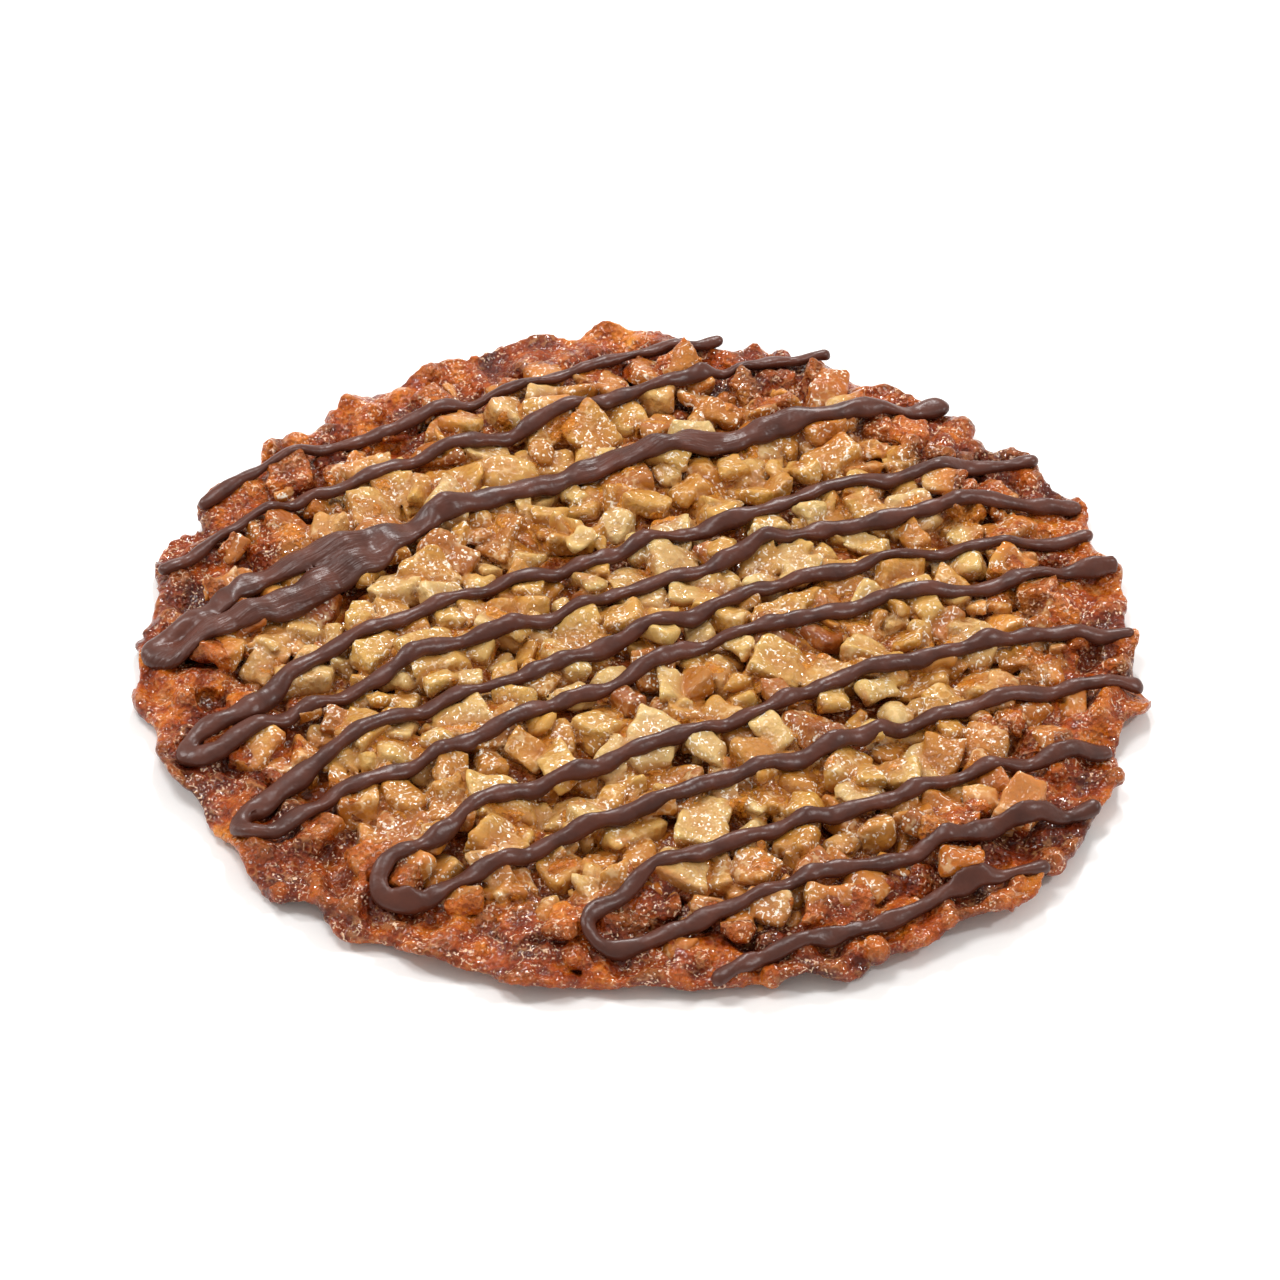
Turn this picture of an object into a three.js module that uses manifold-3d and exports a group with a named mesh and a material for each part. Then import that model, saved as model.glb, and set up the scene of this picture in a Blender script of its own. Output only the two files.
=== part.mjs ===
// A florentine: a thin baked disc of caramel lace and chopped nuts, with dark chocolate drizzled across it.
// Everything is baked or set into one piece, so the model is one solid.
// Millimetres, +Z up. The disc lies on its flat underside; the origin is the middle of that underside.

import * as THREE from "three";
import { ConvexGeometry } from "three/addons/geometries/ConvexGeometry.js";
import { mergeVertices } from "three/addons/utils/BufferGeometryUtils.js";
import Module from "manifold-3d";

// The disc
const RADIUS = 43.4; // mean radius of the rim
const OUTLINE_WAVES = [
  // waves round the rim, how far each swings in and out, and its phase
  [2, 0.7, 0.6],
  [3, 0.6, 2.1],
  [5, 0.45, 4.0],
  [11, 0.35, 1.0],
  [19, 0.4, 2.6],
  [31, 0.35, 5.2],
];
const CENTRE_HEIGHT = 2.5; // caramel between the nuts, at the middle
const RIM_HEIGHT = 1.9; // caramel where the lace begins
const EDGE_THICKNESS = 0.9; // the last of the lace
const SWELL = 0.35; // slow unevenness of the caramel
const FLAT_SHARE = 0.8; // the underside is flat out to this share of the radius
const RIM_LIFT = 1.1; // the most that the rim curls off the tray
const LACE_RELIEF = 0.5; // how far the bubbled lace near the rim rises and falls

// Chopped nuts, in a sunflower spiral with each piece nudged off it
const NUT_SPACING = 2.42;
const NUT_SLOTS = 262; // places on the spiral
const NUTS_FUSED = 76; // the largest pieces, which are chunks; the rest are bumps of the disc
const NUT_LENGTH = [3.8, 7.6];
const NUT_NUDGE = 1.0;
const NUT_CORNERS = 8;
const NUT_REACH = [1.0, 1.28]; // how far the corners lie out, for the half sizes
const NUT_FLOOR = 0.5; // caramel left under the lowest nut
const NUT_PROUD = [1.0, 2.8]; // how far the pieces stand out of the caramel

// Burst bubbles of the lace near the rim
const PITS = 20;
const PIT_RADIUS = [1.0, 1.9];
const PIT_BAND = [0.74, 0.95]; // shares of the radius
const PIT_RAISE = 0.4; // centre above the caramel, in pit radii

// Drizzle: lines laid side by side in hairpins that turn at the left, and run off the rim at the right
const DRIZZLE_ANGLE = THREE.MathUtils.degToRad(26);
const DRIZZLE_BOW = 0.0023; // how fast the lines bend away from straight, in mm for each mm squared
const STRANDS = [
  // places of a strand's lines across the drizzle, its radius, any end short of the rim,
  // and the line that its two lines meet there
  { lines: [35.5], radius: 0.72 },
  { lines: [29.8], radius: 0.76 },
  { lines: [20.6], radius: 1.3, start: -18 },
  { lines: [22.6, 17.6], radius: 1.1, stop: -11, meet: 20.6 },
  { lines: [10.2, 5.0], radius: 0.9 },
  { lines: [-0.6, -5.4], radius: 0.88 },
  { lines: [-13.9, -20.7], radius: 0.9 },
  { lines: [-27.8, -34.2], radius: 0.86 },
  { lines: [-39.6], radius: 0.76 },
];
const STRAND_STEP = 5.0; // between points along a strand
const STRAND_SIDES = 5;
const STRAND_WANDER = 0.55; // sideways
const MEETING = 9; // over how far lines that end short of the rim bend together
const STRAND_SINK = 0.35; // share of its radius that a strand beds in
const STRAND_REST = 1.2; // a strand rests on the highest nut this near its middle
const TURN_INSET = 1.5; // from the rim to a hairpin turn
const TURN_POINTS = 3; // round a turn
const OVERHANG = 0.5; // past the rim, where a line runs off

const RINGS = 14; // rings of facets in the disc, inside the rim
const LAST_RING_SHARE = 0.94; // where the last of them lies
const GOLDEN_ANGLE = Math.PI * (3 - Math.sqrt(5));

// Repeatable scatter: one number from 0 to 1 for each index and purpose.
const fraction = (value) => value - Math.floor(value);
const scatter = (index, purpose) =>
  fraction(Math.sin(index * 12.9898 + purpose * 78.233) * 43758.5453);
const between = ([low, high], share) => low + (high - low) * share;
const step = (low, high, value) => THREE.MathUtils.smoothstep(value, low, high);

// The rim before it is centred, by angle.
const waves = (angle) =>
  OUTLINE_WAVES.reduce((sum, [count, swing, phase]) => sum + swing * Math.cos(count * angle + phase), 0);
const rimRadius = (angle) => RADIUS + waves(angle);

// The middle of the rim's box, which goes to the origin.
function rimCentre() {
  const box = new THREE.Box2();
  for (let degree = 0; degree < 360; degree++) {
    const angle = THREE.MathUtils.degToRad(degree);
    const radius = rimRadius(angle);
    box.expandByPoint(new THREE.Vector2(radius * Math.cos(angle), radius * Math.sin(angle)));
  }
  return box.getCenter(new THREE.Vector2());
}

// How far out a point is: 0 at the middle, 1 at the rim.
const shareOf = (x, y) => Math.hypot(x, y) / rimRadius(Math.atan2(y, x));

// The underside: flat, then curling up unevenly towards the rim.
function underside(x, y) {
  const angle = Math.atan2(y, x);
  const curl = 0.55 + 0.25 * Math.cos(3 * angle + 1.2) + 0.2 * Math.cos(7 * angle + 0.4);
  return RIM_LIFT * curl * step(FLAT_SHARE, 1.08, shareOf(x, y));
}

// The top of the caramel between the nuts.
function caramelTop(x, y) {
  const share = shareOf(x, y);
  const crown = between([CENTRE_HEIGHT, RIM_HEIGHT], step(0.4, 0.92, share));
  const broad = Math.sin(0.31 * x + 0.7) * Math.sin(0.27 * y + 1.9);
  const body = crown + SWELL * (broad + 0.7 * Math.sin(0.55 * x - 0.4 * y + 2.4));
  const edge = underside(x, y) + EDGE_THICKNESS;
  return body + (edge - body) * step(0.9, 1, share);
}

// The bubbled lace: how far it raises or lowers the caramel's top near the rim.
function laceRelief(x, y) {
  const bubbles = Math.sin(1.9 * x + 0.8 * y) * Math.sin(1.6 * y - 0.9 * x + 1.3);
  return LACE_RELIEF * bubbles * step(0.72, 0.86, shareOf(x, y));
}

// One sheet's point at a share of the radius and an angle.
function sheetPoint(share, angle, heightAt) {
  const radius = share * rimRadius(angle);
  const x = radius * Math.cos(angle);
  const y = radius * Math.sin(angle);
  return [x, y, heightAt(x, y)];
}

// The faces of a strip between two closed rings of points, where the outer ring has twice as many.
function doublingStrip(inner, outer, count, upward) {
  const faces = [];
  for (let k = 0; k < count; k++) {
    const next = (k + 1) % count;
    faces.push([inner + k, outer + 2 * k, outer + 2 * k + 1]);
    faces.push([inner + k, outer + 2 * k + 1, inner + next]);
    faces.push([inner + next, outer + 2 * k + 1, outer + 2 * next]);
  }
  return upward ? faces : faces.map(([a, b, c]) => [a, c, b]);
}

// The caramel disc: a domed top of hexagonal rings, a finer rim, and a flat underside that curls up at the rim.
function discGeometry(bumps) {
  const top = (x, y) => reliefTop(bumps, x, y) + laceRelief(x, y);
  const points = [];
  const faces = [];
  const addRing = (share, count, heightAt) => {
    for (let place = 0; place < count; place++) {
      points.push(sheetPoint(share, (place / count) * 2 * Math.PI, heightAt));
    }
    return points.length - count;
  };
  const starts = [addRing(0, 1, top)];
  for (let ring = 1; ring <= RINGS; ring++) {
    starts.push(addRing((ring / RINGS) * LAST_RING_SHARE, 6 * ring, top));
    const point = (level, place) => starts[level] + (level ? place % (6 * level) : 0);
    for (let sector = 0; sector < 6; sector++) {
      for (let k = 0; k < ring; k++) {
        const outer = sector * ring + k;
        const inner = sector * (ring - 1) + k;
        faces.push([point(ring - 1, inner), point(ring, outer), point(ring, outer + 1)]);
        if (k < ring - 1) {
          faces.push([point(ring - 1, inner), point(ring, outer + 1), point(ring - 1, inner + 1)]);
        }
      }
    }
  }
  const count = 6 * RINGS;
  const upperRim = addRing(1, 2 * count, caramelTop);
  const lowerRim = addRing(1, 2 * count, underside);
  const foot = addRing(FLAT_SHARE, count, underside);
  const middle = addRing(0, 1, underside);
  faces.push(...doublingStrip(starts[RINGS], upperRim, count, true));
  faces.push(...doublingStrip(foot, lowerRim, count, false));
  for (let place = 0; place < 2 * count; place++) {
    const next = (place + 1) % (2 * count);
    faces.push([upperRim + place, lowerRim + place, lowerRim + next]);
    faces.push([upperRim + place, lowerRim + next, upperRim + next]);
  }
  for (let place = 0; place < count; place++) {
    faces.push([foot + place, middle, foot + ((place + 1) % count)]);
  }
  const geometry = new THREE.BufferGeometry();
  geometry.setAttribute("position", new THREE.Float32BufferAttribute(points.flat(), 3));
  geometry.setIndex(faces.flat());
  return geometry;
}

// Size and place of the nut piece on one slot of the spiral.
function nutAt(index) {
  const reach = NUT_SPACING * Math.sqrt(index + 0.5);
  const angle = index * GOLDEN_ANGLE;
  const x = reach * Math.cos(angle) + between([-NUT_NUDGE, NUT_NUDGE], scatter(index, 1));
  const y = reach * Math.sin(angle) + between([-NUT_NUDGE, NUT_NUDGE], scatter(index, 2));
  const length = between(NUT_LENGTH, scatter(index, 3) ** 1.3);
  const width = length * between([0.58, 0.86], scatter(index, 4));
  const height = width * between([0.6, 0.85], scatter(index, 5));
  const proud = between(NUT_PROUD, scatter(index, 6)) * (1 - 0.55 * step(0.55, 0.9, shareOf(x, y)));
  const top = caramelTop(x, y) + proud;
  const centre = Math.max(top - height / 2, NUT_FLOOR + height / 2);
  return {
    index,
    half: new THREE.Vector3(length / 2, width / 2, height / 2),
    place: new THREE.Vector3(x, y, centre),
    turn: new THREE.Euler(
      between([-0.35, 0.35], scatter(index, 7)),
      between([-0.35, 0.35], scatter(index, 8)),
      scatter(index, 9) * 2 * Math.PI,
      "ZXY",
    ),
  };
}

// The nut pieces that lie inside the lace rim, the largest first.
function nuts() {
  return Array.from({ length: NUT_SLOTS }, (_, index) => nutAt(index))
    .filter(({ place, half }) => shareOf(place.x, place.y) + (0.6 * half.x) / RADIUS < 0.95)
    .sort((a, b) => b.half.x - a.half.x);
}

// A chopped nut: the hull of a few corners near an ellipsoid.
function nutGeometry({ index, half, place, turn }) {
  const corners = [];
  for (let corner = 0; corner < NUT_CORNERS; corner++) {
    const level = 1 - (2 * (corner + 0.5)) / NUT_CORNERS;
    const ring = Math.sqrt(1 - level * level);
    const angle = corner * GOLDEN_ANGLE + 2 * Math.PI * scatter(index, 10);
    const reach = between(NUT_REACH, scatter(index * NUT_CORNERS + corner, 11));
    corners.push(
      new THREE.Vector3(ring * Math.cos(angle), ring * Math.sin(angle), level)
        .multiply(half)
        .multiplyScalar(reach)
        .applyEuler(turn)
        .add(place),
    );
  }
  const lowest = Math.min(...corners.map((corner) => corner.z));
  const raise = Math.max(0, NUT_FLOOR - lowest);
  return new ConvexGeometry(corners.map((corner) => corner.setZ(corner.z + raise)));
}

// The top of the nuts and caramel together, which carries the drizzle.
function reliefTop(pieces, x, y) {
  let top = caramelTop(x, y);
  for (const { place, half } of pieces) {
    const reach = (half.x + half.y) / 2;
    const away = Math.hypot(x - place.x, y - place.y) / reach;
    if (away < 1) {
      top = Math.max(top, place.z + half.z * Math.sqrt(1 - away * away));
    }
  }
  return top;
}

// A burst bubble: a ball cut out of the lace.
function pitGeometry(index) {
  const angle = index * GOLDEN_ANGLE + between([-0.12, 0.12], scatter(index, 21));
  const share = between(PIT_BAND, scatter(index, 22));
  const radius = between(PIT_RADIUS, scatter(index, 23)) * (1.25 - 0.3 * step(0.75, 0.95, share));
  const [x, y, top] = sheetPoint(share, angle, caramelTop);
  return new THREE.IcosahedronGeometry(radius, 0)
    .rotateZ(index)
    .translate(x, y, top + PIT_RAISE * radius);
}

// Turns places along and across the drizzle into x and y.
function fromDrizzle(along, across) {
  const cos = Math.cos(DRIZZLE_ANGLE);
  const sin = Math.sin(DRIZZLE_ANGLE);
  return [along * cos - across * sin, along * sin + across * cos];
}

// A drizzle line's place across the drizzle, which bends away from straight towards both rims.
const bowed = (along, across) => across - DRIZZLE_BOW * along * along;

// A drizzle line's two ends along its own direction, from the rim at the left to the rim at the right.
function lineEnds(across) {
  const endAt = (side) => {
    let along = side * RADIUS;
    for (let pass = 0; pass < 12; pass++) {
      const place = bowed(along, across);
      const [x, y] = fromDrizzle(along, place);
      const end = side * Math.sqrt(Math.max(rimRadius(Math.atan2(y, x)) ** 2 - place ** 2, 1));
      along = (along + end) / 2;
    }
    return along;
  };
  return [endAt(-1), endAt(1)];
}

// The route of a strand seen from above: one line, or two lines joined by a turn at the left.
function strandRoute({ lines, start, stop = Infinity, meet }, index) {
  const wander = (along, across) =>
    bowed(along, across) +
    STRAND_WANDER * (Math.sin(0.13 * along + across) + 0.5 * Math.sin(0.37 * along + 2 * across + index));
  const meeting = (along, across) =>
    wander(along, meet === undefined ? across : between([across, meet], step(stop - MEETING, stop, along)));
  const [first, last] = [lines[0], lines[lines.length - 1]];
  const turn = (first - last) / 2;
  const rimLeft = Math.max(...lines.map((across) => lineEnds(across)[0]));
  const left = start ?? rimLeft + (turn ? TURN_INSET + turn : -OVERHANG);
  const lineRoute = (across) => {
    const right = Math.min(lineEnds(across)[1] + OVERHANG, stop);
    const count = Math.max(2, Math.round((right - left) / STRAND_STEP));
    return Array.from({ length: count + 1 }, (_, k) => {
      const along = right + ((left - right) * k) / count;
      return [along, meeting(along, across)];
    });
  };
  if (!turn) {
    return lineRoute(first);
  }
  const middle = (wander(left, first) + wander(left, last)) / 2;
  const reach = (wander(left, first) - wander(left, last)) / 2;
  const bend = Array.from({ length: TURN_POINTS }, (_, k) => {
    const angle = ((k + 1) / (TURN_POINTS + 1)) * Math.PI;
    return [left - turn * Math.sin(angle), middle + reach * Math.cos(angle)];
  });
  return [...lineRoute(first), ...bend, ...lineRoute(last).reverse()];
}

// The height that a strand rests at: the highest point of the relief close by.
function restHeight(pieces, x, y) {
  const inside = Math.min(1, 0.985 / shareOf(x, y));
  const heights = Array.from({ length: 6 }, (_, side) => {
    const angle = (side / 6) * 2 * Math.PI;
    return reliefTop(
      pieces,
      inside * x + STRAND_REST * Math.cos(angle),
      inside * y + STRAND_REST * Math.sin(angle),
    );
  });
  return Math.max(reliefTop(pieces, inside * x, inside * y), ...heights);
}

// A strand of chocolate: a many-sided tube that rides over the nuts.
function strandGeometry(strand, index, pieces) {
  const { radius } = strand;
  const route = strandRoute(strand, index).map(([along, across]) => {
    const [x, y] = fromDrizzle(along, across);
    return new THREE.Vector3(x, y, restHeight(pieces, x, y) + radius * (1 - 2 * STRAND_SINK));
  });
  const section = new THREE.Shape(
    Array.from({ length: STRAND_SIDES }, (_, side) => {
      const angle = (side / STRAND_SIDES) * 2 * Math.PI;
      return new THREE.Vector2(radius * Math.cos(angle), radius * Math.sin(angle));
    }),
  );
  return new THREE.ExtrudeGeometry(section, {
    steps: route.length - 1,
    extrudePath: new THREE.CatmullRomCurve3(route),
  });
}

const MERGE_REACH = 1e-4; // corners nearer than this are one
const wasm = await Module();
wasm.setup();

// A closed geometry as a manifold-3d solid with its faces out.
function solidOf(geometry) {
  const loose = geometry.index ? geometry.toNonIndexed() : geometry.clone();
  const merged = mergeVertices(loose.deleteAttribute("normal").deleteAttribute("uv"), MERGE_REACH);
  const mesh = new wasm.Mesh({
    numProp: 3,
    vertProperties: merged.attributes.position.array,
    triVerts: new Uint32Array(merged.index.array),
  });
  const solid = new wasm.Manifold(mesh);
  if (solid.volume() >= 0) {
    return solid;
  }
  mesh.triVerts = mesh.triVerts.slice().reverse();
  return new wasm.Manifold(mesh);
}

// The outer body alone: hollows that fusing sealed are filled, and loose scraps dropped.
const outerBody = (solid) =>
  solid.decompose().reduce((largest, body) => (body.volume() > largest.volume() ? body : largest));

// The geometry of a solid, for a THREE.Mesh.
function geometryOf(solid) {
  const { vertProperties, triVerts } = solid.getMesh();
  const geometry = new THREE.BufferGeometry();
  geometry.setAttribute("position", new THREE.BufferAttribute(vertProperties, 3));
  geometry.setIndex(new THREE.BufferAttribute(triVerts, 1));
  geometry.computeVertexNormals();
  return geometry;
}

// The whole florentine: the disc with its burst bubbles, the nuts and the drizzle.
function florentineSolid() {
  const pieces = nuts();
  const chunks = pieces.slice(0, NUTS_FUSED);
  let solid = solidOf(discGeometry(pieces.slice(NUTS_FUSED)));
  for (let index = 0; index < PITS; index++) {
    solid = solid.subtract(solidOf(pitGeometry(index)));
  }
  for (const piece of chunks) {
    solid = solid.add(solidOf(nutGeometry(piece)));
  }
  STRANDS.forEach((strand, index) => {
    solid = solid.add(solidOf(strandGeometry(strand, index, pieces)));
  });
  return outerBody(solid);
}

const caramel = new THREE.MeshStandardMaterial({ color: 0xa9622c, roughness: 0.35, metalness: 0 });
const florentine = new THREE.Mesh(geometryOf(florentineSolid()), caramel);
florentine.name = "florentine";
const centre = rimCentre();
florentine.position.set(-centre.x, -centre.y, 0);

const part = new THREE.Group();
part.add(florentine);

export default part;
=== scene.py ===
import itertools
import math

import bpy
import numpy as np
import openvdb
from mathutils import Matrix, Vector


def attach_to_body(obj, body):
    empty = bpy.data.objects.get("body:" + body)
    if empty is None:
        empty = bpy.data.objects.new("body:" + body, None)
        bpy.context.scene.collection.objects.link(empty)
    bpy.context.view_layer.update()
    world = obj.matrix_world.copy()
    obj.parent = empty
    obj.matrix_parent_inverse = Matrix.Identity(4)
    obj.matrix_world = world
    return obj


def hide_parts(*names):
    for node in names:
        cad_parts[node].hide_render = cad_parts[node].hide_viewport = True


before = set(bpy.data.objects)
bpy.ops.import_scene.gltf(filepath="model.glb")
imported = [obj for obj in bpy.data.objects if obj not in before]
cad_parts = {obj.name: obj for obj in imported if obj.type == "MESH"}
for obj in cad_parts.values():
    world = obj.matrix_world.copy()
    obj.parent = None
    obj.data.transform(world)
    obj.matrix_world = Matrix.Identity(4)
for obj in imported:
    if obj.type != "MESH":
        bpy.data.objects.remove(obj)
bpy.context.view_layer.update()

# A florentine: caramel lace, chopped nuts and a chocolate drizzle, in place of the node of the same name.
# The three are carved out of fields of distances on one grid of samples, in millimetres, negative inside.

# The disc, as the solid has it
RADIUS = 43.4
OUTLINE_WAVES = [  # number, swing and phase of each wave of the rim
    (2, 0.7, 0.6), (3, 0.6, 2.1), (5, 0.45, 4.0), (11, 0.35, 1.0), (19, 0.4, 2.6), (31, 0.35, 5.2),
]
CENTRE_HEIGHT = 2.5
RIM_HEIGHT = 1.9
EDGE_THICKNESS = 0.9
SWELL = 0.35
FLAT_SHARE = 0.8  # share of the radius within which the underside is flat
RIM_LIFT = 1.1

# Chopped nuts, on the solid's places
NUT_SPACING = 2.42
NUT_SLOTS = 262
NUT_LENGTH = (3.8, 7.6)
NUT_WIDTH = (0.58, 0.86)  # for its length
NUT_HEIGHT = (0.5, 0.75)  # for its width
NUT_NUDGE = 1.0
NUT_TILT = 0.35
NUT_REACH = (0.5, 0.96)  # how far out a block's corners are, for its half sides
NUT_FLOOR = 0.5
NUT_PROUD = (1.0, 2.8)
NUT_BAND = 0.95  # share of the radius that the chopped ones reach
RIM_SHRINK = 0.25  # how much shorter they are at the rim
RIM_SINK = 0.75  # and how much less they stand out

# Crumbs of nut, between the chopped ones
CRUMBS = 560
CRUMB_LENGTH = (3.0, 6.2)
CRUMB_WIDTH = (0.6, 0.9)  # for its length
CRUMB_HEIGHT = 0.46
CRUMB_PROUD = (0.4, 1.8)
CRUMB_BAND = 0.86  # share of the radius that the crumbs reach
CRUMB_ROOM = -0.25  # how deep in a larger piece a crumb's middle may lie

# Drizzle: a strand's lines by their places across, its half width, where it starts or stops short of the
# rim, and the place across that such lines bend to
DRIZZLE_ANGLE = math.radians(26)
DRIZZLE_BOW = 0.0023
STRANDS = [
    {"lines": [35.5], "radius": 0.66},
    {"lines": [29.8], "radius": 0.7},
    {"lines": [20.6], "radius": 0.95, "start": -18},
    {"lines": [22.6, 17.6], "radius": 0.9, "stop": -11, "meet": 20.6},
    {"lines": [10.2, 5.0], "radius": 0.76},
    {"lines": [-0.6, -5.4], "radius": 0.75},
    {"lines": [-13.9, -20.7], "radius": 0.76},
    {"lines": [-27.8, -34.2], "radius": 0.74},
    {"lines": [-39.6], "radius": 0.7},
]
STRAND_WANDER = 0.55
MEETING = 20.0  # over how far lines that end short of the rim bend together
TURN_INSET = 1.5
PINCH = 0.3  # share by which a pair of lines close up towards their turn
PINCH_REACH = 10.0  # over how far they do
RIM_GAP = 1.1  # between the rim and the ends of the lines
DOT_STEP = 0.3  # between the points that draw a strand
POOLS = [  # line, place along it, reach and extra half width of each spot where the chocolate ran wide
    (20.6, 12.0, 12.0, 0.4), (20.6, -15.0, 7.0, 0.35),
    (22.6, -22.0, 8.0, 0.5), (17.6, -24.0, 9.0, 0.7), (22.6, -37.0, 5.0, 0.2), (17.6, -38.5, 5.0, 0.45),
    (10.2, -35.0, 6.0, 0.35), (5.0, -35.0, 5.0, 0.3), (-0.6, -36.0, 5.0, 0.25), (-5.4, -36.0, 5.0, 0.3),
]

GOLDEN_ANGLE = math.pi * (3 - math.sqrt(5))

# The grid of samples
STEP = 0.25
LOW = np.array([-48.0, -48.0, -1.0])
SPAN = np.array([96.0, 96.0, 10.0])
COUNT = tuple(np.round(SPAN / STEP).astype(int))


def samples(axis):
    """The places of the samples on one axis, shaped to go with the other two."""
    shape = [-1 if axis == other else 1 for other in range(3)]
    return (LOW[axis] + STEP * np.arange(COUNT[axis], dtype=np.float32)).reshape(shape)


X, Y, Z = (samples(axis) for axis in range(3))
FLAT_X, FLAT_Y = X[:, :, 0], Y[:, :, 0]


# ---------------------------------------------------------------- numbers and fields

def scatter(index, purpose):
    """Repeatable scatter: one number from 0 to 1 for each index and purpose."""
    value = math.sin(index * 12.9898 + purpose * 78.233) * 43758.5453
    return value - math.floor(value)


def between(limits, share):
    """The number that is such a share of the way from the lower limit to the upper one."""
    return limits[0] + (limits[1] - limits[0]) * share


def smooth_step(low, high, value):
    """0 up to `low` and 1 from `high` on, with a smooth rise between; or the other way round."""
    share = np.clip((value - low) / (high - low), 0, 1)
    return share * share * (3 - 2 * share)


def smooth_min(a, b, reach):
    """The lower of two fields, blended where they are within `reach` of each other."""
    share = np.clip(0.5 + 0.5 * (b - a) / reach, 0, 1)
    return b + (a - b) * share - reach * share * (1 - share)


def smooth_max(a, b, reach):
    """The higher of two fields, blended likewise."""
    return -smooth_min(-a, -b, reach)


def filtered(field, response):
    """A field with its waves scaled by a function of their number per millimetre."""
    steps = [np.fft.fftfreq(n, STEP) for n in field.shape[:-1]] + [np.fft.rfftfreq(field.shape[-1], STEP)]
    cycles = np.sqrt(sum(wave ** 2 for wave in np.ix_(*steps)))
    return np.fft.irfftn(np.fft.rfftn(field) * response(cycles), field.shape)


def noise(shape, length, seed, spread=0.45):
    """A smooth random field of unit deviation, with waves about `length` millimetres long."""
    white = np.random.default_rng(seed).standard_normal(shape)
    field = filtered(white, lambda cycles: np.exp(-(((cycles * length) - 1) / spread) ** 2))
    return (field / field.std()).astype(np.float32)


def blurred(field, reach):
    """A field blurred by `reach` millimetres."""
    return filtered(field, lambda cycles: np.exp(-2 * (math.pi * reach * cycles) ** 2)).astype(np.float32)


def window(centre, reach):
    """The slices of the grid within `reach` of a point on each axis."""
    first = np.clip(np.floor((centre - reach - LOW) / STEP).astype(int), 0, COUNT)
    last = np.clip(np.ceil((centre + reach - LOW) / STEP).astype(int) + 1, 0, COUNT)
    return tuple(slice(a, b) for a, b in zip(first, last))


def ball(box, centre, stretch=1.0):
    """Distances from a point within a window of the grid, with the heights scaled."""
    sideways = (X[box[0]] - centre[0]) ** 2 + (Y[:, box[1]] - centre[1]) ** 2
    return np.sqrt(sideways + ((Z[:, :, box[2]] - centre[2]) * stretch) ** 2)


def sampled(field, points):
    """Values of a field on the grid at points in millimetres, blended from the nearest samples."""
    places = (points[:, : field.ndim] - LOW[: field.ndim]) / STEP
    first = np.clip(np.floor(places).astype(int), 0, np.array(field.shape) - 2)
    share = np.clip(places - first, 0, 1)
    total = np.zeros(len(points))
    for corner in itertools.product((0, 1), repeat=field.ndim):
        weight = np.prod([share[:, k] if c else 1 - share[:, k] for k, c in enumerate(corner)], axis=0)
        total += weight * field[tuple((first + corner).T)]
    return total


# ---------------------------------------------------------------- the disc

def rim_radius(angle):
    """How far the rim is from the middle, by direction."""
    return RADIUS + sum(swing * np.cos(count * angle + phase) for count, swing, phase in OUTLINE_WAVES)


def rim_centre():
    """The middle of the rim's box, which goes to the origin."""
    angles = np.radians(np.arange(360))
    rim = rim_radius(angles) * np.array([np.cos(angles), np.sin(angles)])
    return np.array([*(rim.min(1) + rim.max(1)) / 2, 0.0])


def share_of(x, y):
    """How far out a point is: 0 at the middle, 1 at the rim."""
    return np.hypot(x, y) / rim_radius(np.arctan2(y, x))


def underside(x, y):
    """The height of the underside, which curls up at the rim."""
    angle = np.arctan2(y, x)
    curl = 0.55 + 0.25 * np.cos(3 * angle + 1.2) + 0.2 * np.cos(7 * angle + 0.4)
    return RIM_LIFT * curl * smooth_step(FLAT_SHARE, 1.08, share_of(x, y))


def caramel_top(x, y):
    """The top of the caramel between the nuts."""
    share = share_of(x, y)
    crown = between((CENTRE_HEIGHT, RIM_HEIGHT), smooth_step(0.4, 0.92, share))
    swell = np.sin(0.31 * x + 0.7) * np.sin(0.27 * y + 1.9) + 0.7 * np.sin(0.55 * x - 0.4 * y + 2.4)
    body = crown + SWELL * swell
    edge = underside(x, y) + EDGE_THICKNESS
    return body + (edge - body) * smooth_step(0.9, 1, share)


SHARE = share_of(FLAT_X, FLAT_Y)
UNDER = underside(FLAT_X, FLAT_Y)
TOP = caramel_top(FLAT_X, FLAT_Y)


# ---------------------------------------------------------------- nuts

def nut_at(index):
    """Size and place of the nut piece on one slot of the spiral."""
    reach = NUT_SPACING * math.sqrt(index + 0.5)
    angle = index * GOLDEN_ANGLE
    x = reach * math.cos(angle) + between((-NUT_NUDGE, NUT_NUDGE), scatter(index, 1))
    y = reach * math.sin(angle) + between((-NUT_NUDGE, NUT_NUDGE), scatter(index, 2))
    share = share_of(x, y)
    length = between(NUT_LENGTH, scatter(index, 3) ** 1.3)
    length = length * (1 - RIM_SHRINK * smooth_step(0.6, 0.9, share))
    width = length * between(NUT_WIDTH, scatter(index, 4))
    height = width * between(NUT_HEIGHT, scatter(index, 5))
    proud = between(NUT_PROUD, scatter(index, 6)) * (1 - RIM_SINK * smooth_step(0.55, 0.9, share))
    centre = max(caramel_top(x, y) + proud - height / 2, NUT_FLOOR + height / 2)
    tilt, lean = (between((-NUT_TILT, NUT_TILT), scatter(index, purpose)) for purpose in (7, 8))
    return {
        "index": index,
        "half": np.array([length, width, height]) / 2,
        "place": np.array([x, y, centre]),
        "turn": turned(tilt, lean, scatter(index, 9) * 2 * math.pi),
    }


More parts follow.
